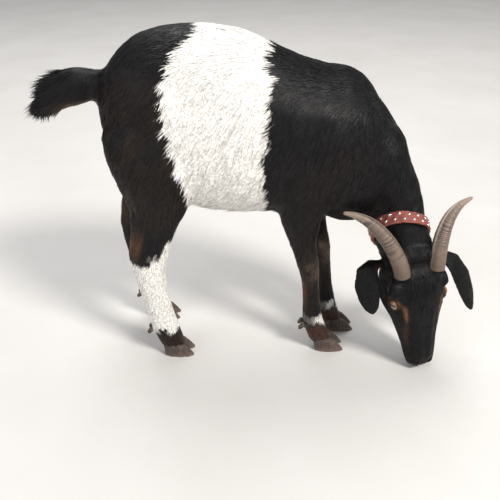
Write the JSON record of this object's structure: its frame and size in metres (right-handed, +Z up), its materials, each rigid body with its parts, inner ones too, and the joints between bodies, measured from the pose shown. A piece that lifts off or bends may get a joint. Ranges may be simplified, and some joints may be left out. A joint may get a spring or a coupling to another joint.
{
  "type": "goat",
  "caption": "Small horned goat standing with its head down to graze, black with a broad white belt, drooping ears and a studded collar; a still life-size model.",
  "frame": {"origin": "on the floor under the middle of the animal's overall box", "axes": "+X towards the chest, +Y to the goat's left, +Z up; the face is turned to the goat's right"},
  "size_m": [0.7862, 0.25, 0.5923],
  "materials": {
    "coat": "short glossy hair, black with a white belt, white hind cannons and tan points",
    "horn": "ridged grey-brown horn",
    "hoof": "dull brown hoof horn",
    "eye": "wet amber iris with a level slit pupil",
    "collar": "worn brick-red leather",
    "stud": "bright dome studs and buckle"
  },
  "bodies": {
    "root": {"collar": "collar", "dewclaw_foreleg_left_inner": "hoof", "dewclaw_foreleg_left_outer": "hoof", "dewclaw_foreleg_right_inner": "hoof", "dewclaw_foreleg_right_outer": "hoof", "dewclaw_hindleg_left_inner": "hoof", "dewclaw_hindleg_left_outer": "hoof", "dewclaw_hindleg_right_inner": "hoof", "dewclaw_hindleg_right_outer": "hoof", "ear_left": "coat", "ear_right": "coat", "eye_left": "eye", "eye_right": "eye", "foreleg_left": "coat", "foreleg_right": "coat", "head": "coat", "hindleg_left": "coat", "hindleg_right": "coat", "hoof_foreleg_left_inner": "hoof", "hoof_foreleg_left_outer": "hoof", "hoof_foreleg_right_inner": "hoof", "hoof_foreleg_right_outer": "hoof", "hoof_hindleg_left_inner": "hoof", "hoof_hindleg_left_outer": "hoof", "hoof_hindleg_right_inner": "hoof", "hoof_hindleg_right_outer": "hoof", "horn_left": "horn", "horn_right": "horn", "neck": "coat", "tail": "coat", "trunk": "coat"}
  },
  "joints": []
}
